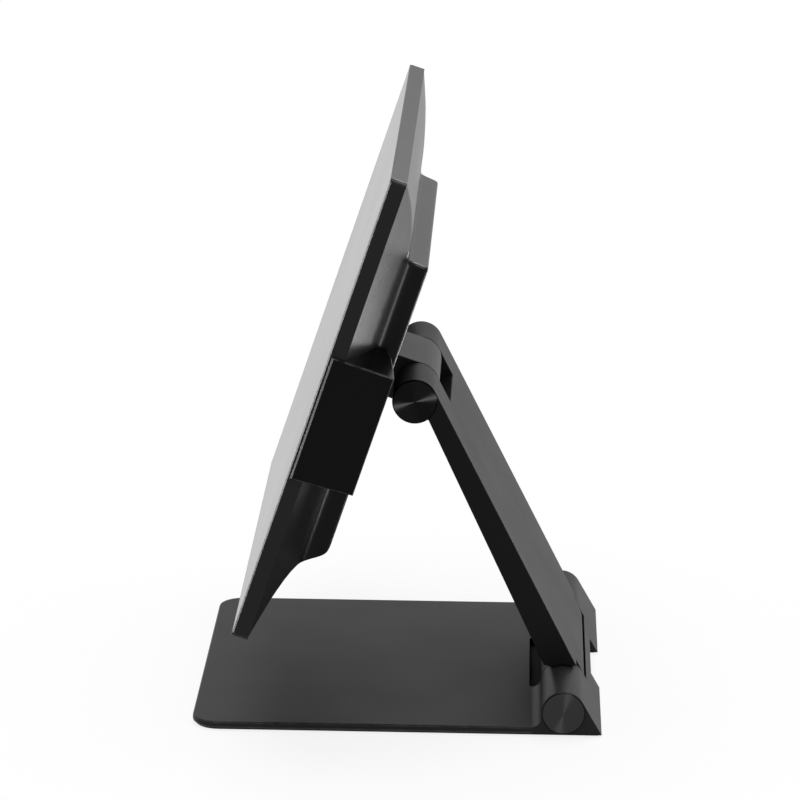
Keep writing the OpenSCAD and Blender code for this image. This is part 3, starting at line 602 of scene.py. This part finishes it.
socketSet = {"low": -0.086, "far": -0.066, "depth": 0.01762, "corner": 0.0004, "ease": 0.0003,
             "hole": {"wall": 0.0006, "corner": 0.0003, "deep": 0.011},
             "tongue": {"corner": 0.0002, "front": 0.0012},
             "bore": {"wide": 0.0056, "deep": 0.009},
             "pin": {"wide": 0.0018, "front": 0.002, "tip": 0.0012, "tipShare": 0.6},
             "strip": {"wide": 0.09568, "high": 0.002, "corner": 0.0002, "long": 0.006}}
twoTongues = [(-0.0022, 0.0108, 0.0016), (0.0022, 0.0108, 0.0016)]        # shift, width and thickness
socketRow = [{"at": -0.04160, "wide": 0.012, "high": 0.0090},
             {"at": -0.01976, "wide": 0.016, "high": 0.0115, "tongues": [(0.0034, 0.0090, 0.0012)]},
             {"at": 0.00416, "wide": 0.014, "high": 0.0100, "tongues": twoTongues},
             {"at": 0.02392, "wide": 0.014, "high": 0.0100, "tongues": twoTongues},
             {"at": 0.04160, "wide": 0.012, "high": 0.0090}]        # no tongues: bored for power
metalShade, plasticShade = 0, 1        # material slots of the row


def makeSockets():
    form = bmesh.new()
    seat = displayMatrix(0, 0, 0)
    low, far, depth, corner, ease = (socketSet[key] for key in ("low", "far", "depth", "corner", "ease"))
    hole, tongue, bore, pin, strip = (socketSet[key] for key in ("hole", "tongue", "bore", "pin", "strip"))

    def skin(centre, rings, shade):        # each ring: width, height, corner radius, place along the socket
        tubeForm(form, [[seat @ Vector((x, y, -back)) for x, back in roundLoop(centre, wide, high, radius)]
                        for wide, high, radius, y in rings], shade)

    def circle(across, y):
        return across, across, across / 2, y

    for socket in socketRow:
        wide, high = socket["wide"], socket["high"]
        centre = (socket["at"], depth + high / 2)
        outer = [(wide, high, corner, far), (wide, high, corner, low + ease),
                 (wide - 2 * ease, high - 2 * ease, corner, low)]
        if "tongues" not in socket:
            bottom = low + bore["deep"]
            skin(centre, outer + [circle(bore["wide"], low), circle(bore["wide"], bottom)], plasticShade)
            skin(centre, [circle(pin["wide"], bottom), circle(pin["wide"], low + pin["front"]),
                          circle(pin["wide"] * pin["tipShare"], low + pin["tip"])], metalShade)
            continue
        inner = (wide - 2 * hole["wall"], high - 2 * hole["wall"], hole["corner"])
        skin(centre, outer + [(*inner, low), (*inner, low + hole["deep"])], metalShade)
        for shift, across, thick in socket["tongues"]:
            ends = (low + hole["deep"], low + tongue["front"])
            skin((centre[0], centre[1] + shift), [(across, thick, tongue["corner"], y) for y in ends],
                 plasticShade)
    ends = (far, far - strip["long"])
    skin((0, depth + strip["high"] / 2), [(strip["wide"], strip["high"], strip["corner"], y) for y in ends],
         plasticShade)
    bmesh.ops.recalc_face_normals(form, faces=form.faces[:])
    mesh = meshFrom(form, "socketRow", madeSharp)
    piece = addPiece("socketRow", mesh, "display", socketShell)
    piece.data.materials.append(socketPlastic)
    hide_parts("io_ports")


makeSockets()
print("display dressed")

# Studio: white surround, pale floor and soft light from above. Pairs of lamps and table cards, one on each
# side, put the glints on the caps, cover, frame and reader; each lights its own pieces, in their gloss alone

studio = {"floorSize": 14, "floorDrop": 0.0001, "floorGlow": 0.81, "floorTone": 0.21, "floorBounce": 0.8,
          "ambient": 0.42, "skyPlace": (-0.3, 0.0, 2), "skyPower": 1.6, "skySpread": 70, "aim": (0, 0, 0.12)}


def litGroup(name, pieces):
    lit = bpy.data.collections.new(name)
    for piece in pieces:
        lit.objects.link(piece)
    return lit


upperCapsLit = litGroup("upperCapsLit", [upperCaps])
lowerCapsLit = litGroup("lowerCapsLit", [lowerCaps])
housingLit = litGroup("housingLit", [rearCover, displayFrame])
coverLit = litGroup("coverLit", [rearCover])
frameLit = litGroup("frameLit", [displayFrame])
readerLit = litGroup("readerLit", [readerFace])
lampPairs = {"lowLamp": {"place": (0.93, 1.16, 0.10), "size": (1.0, 0.18), "power": 75, "only": upperCapsLit},
             "midLamp": {"place": (1.0, 0.35, 0.60), "size": (0.4, 0.4), "power": 5, "only": lowerCapsLit},
             "highLamp": {"place": (0.62, 0.46, 1.15), "size": (0.6, 0.45), "power": 24, "only": housingLit},
             "tableCard": {"place": (0.23, 0.43, 0.002), "size": (0.17, 0.34), "power": 3.9, "turn": 20,
                           "only": coverLit},
             "nearCard": {"place": (0.150, 0.205, 0.002), "size": (0.04, 0.16), "power": 0.6, "turn": 20,
                          "only": coverLit},
             "rimLamp": {"place": (0.21, -1.24, 0.28), "size": (0.5, 0.5), "power": 32, "only": frameLit},
             "frontLamp": {"place": (1.15, -1.2, 0.11), "size": (0.3, 0.3), "power": 28, "only": readerLit}}


def seenRay(tree):        # 1 for what the lens, a gloss or a glass sees
    ray = tree.nodes.new("ShaderNodeLightPath")
    seen = mathNode(tree, "MAXIMUM", ray.outputs["Is Camera Ray"], ray.outputs["Is Glossy Ray"])
    return mathNode(tree, "MAXIMUM", seen, ray.outputs["Is Transmission Ray"])


def seenOrNot(tree, seen, unseen, out):        # one shader to be looked at, another for the light it gives
    mix = tree.nodes.new("ShaderNodeMixShader")
    for socket, source in zip(mix.inputs, (seenRay(tree), unseen.outputs[0], seen.outputs[0])):
        tree.links.new(source, socket)
    tree.links.new(mix.outputs[0], out.inputs["Surface"])


def makeSurround():
    world = bpy.data.worlds.new("surround")
    scene.world = world
    world.use_nodes = True
    tree = world.node_tree
    tree.nodes.clear()
    white = addNode(tree, "ShaderNodeBackground", {"Color": (1, 1, 1, 1), "Strength": 1})
    fill = addNode(tree, "ShaderNodeBackground", {"Color": (1, 1, 1, 1), "Strength": studio["ambient"]})
    seenOrNot(tree, white, fill, tree.nodes.new("ShaderNodeOutputWorld"))


def makeFloor():
    form = bmesh.new()
    bmesh.ops.create_grid(form, x_segments=1, y_segments=1, size=studio["floorSize"] / 2)
    floor = bpy.data.objects.new("paleFloor", meshFrom(form, "paleFloor", madeSharp))
    scene.collection.objects.link(floor)
    floor.location.z = -studio["floorDrop"]
    paper = bpy.data.materials.new("palePaper")
    paper.use_nodes = True
    tree = paper.node_tree
    tree.nodes.clear()
    matt, plain = (addNode(tree, "ShaderNodeBsdfDiffuse", {"Color": (studio[tone],) * 3 + (1,)})
                   for tone in ("floorTone", "floorBounce"))
    glow = addNode(tree, "ShaderNodeEmission", {"Strength": studio["floorGlow"]})
    both = tree.nodes.new("ShaderNodeAddShader")
    tree.links.new(matt.outputs[0], both.inputs[0])
    tree.links.new(glow.outputs[0], both.inputs[1])
    seenOrNot(tree, both, plain, tree.nodes.new("ShaderNodeOutputMaterial"))
    floor.data.materials.append(paper)


def addLamp(name, kind, place, power, **settings):        # aimed at the middle of the stand
    light = bpy.data.lights.new(name, kind)
    light.energy = power
    for key, value in settings.items():
        setattr(light, key, value)
    lamp = bpy.data.objects.new(name, light)
    scene.collection.objects.link(lamp)
    lamp.location = place
    lamp.rotation_euler = (Vector(studio["aim"]) - lamp.location).to_track_quat("-Z", "Y").to_euler()
    lamp.visible_camera = False
    return lamp


makeSurround()
makeFloor()
addLamp("softSky", "SUN", studio["skyPlace"], studio["skyPower"], angle=math.radians(studio["skySpread"]))
for kind, lamp in lampPairs.items():
    for side, name in ((1, kind + "Right"), (-1, kind + "Left")):
        place = (side * lamp["place"][0], *lamp["place"][1:])
        made = addLamp(name, "AREA", place, lamp["power"], shape="RECTANGLE", size=lamp["size"][0],
                       size_y=lamp["size"][1])
        made.light_linking.receiver_collection = lamp["only"]        # flagged off everything else
        made.visible_diffuse = False
        if "turn" in lamp:        # lies on the table and faces up
            made.rotation_euler = (math.pi, 0, math.radians(-side * lamp["turn"]))

# Camera: from the user's right, a little above, as in the photograph's right-hand view; focal length and
# shift were fitted in pixels of its frame, and "closer" fills the frame with the one view

cameraSet = {"place": (2.2355, 0.0637, 0.7454), "yaw": 181.94, "pitch": -15.22, "roll": 0.41, "sensor": 36,
             "far": 50, "framePixels": 800, "focalPixels": 3124.5, "asidePixels": (12.8, 30.2), "closer": 1.3}


def makeCamera():
    yaw, pitch, roll = (math.radians(cameraSet[key]) for key in ("yaw", "pitch", "roll"))
    focal = cameraSet["focalPixels"]
    aside, lift = (pixels / focal for pixels in cameraSet["asidePixels"])
    ahead = Vector((math.cos(pitch) * math.cos(yaw), math.cos(pitch) * math.sin(yaw), math.sin(pitch)))
    right = ahead.cross(Vector((0, 0, 1))).normalized()
    above = right.cross(ahead)
    right, above = (right * math.cos(roll) + above * math.sin(roll),
                    above * math.cos(roll) - right * math.sin(roll))
    ahead = (ahead + right * aside + above * lift).normalized()
    right = (right - ahead * right.dot(ahead)).normalized()
    above = right.cross(ahead)
    lens = bpy.data.cameras.new("sideView")
    lens.sensor_width = cameraSet["sensor"]
    lens.lens = cameraSet["sensor"] * (focal * cameraSet["closer"]) / cameraSet["framePixels"]
    lens.clip_end = cameraSet["far"]
    camera = bpy.data.objects.new("sideView", lens)
    scene.collection.objects.link(camera)
    camera.matrix_world = axesMatrix(right, above, -ahead, Vector(cameraSet["place"]))
    scene.camera = camera


makeCamera()
scene.view_settings.view_transform = "Standard"
print("studio ready")
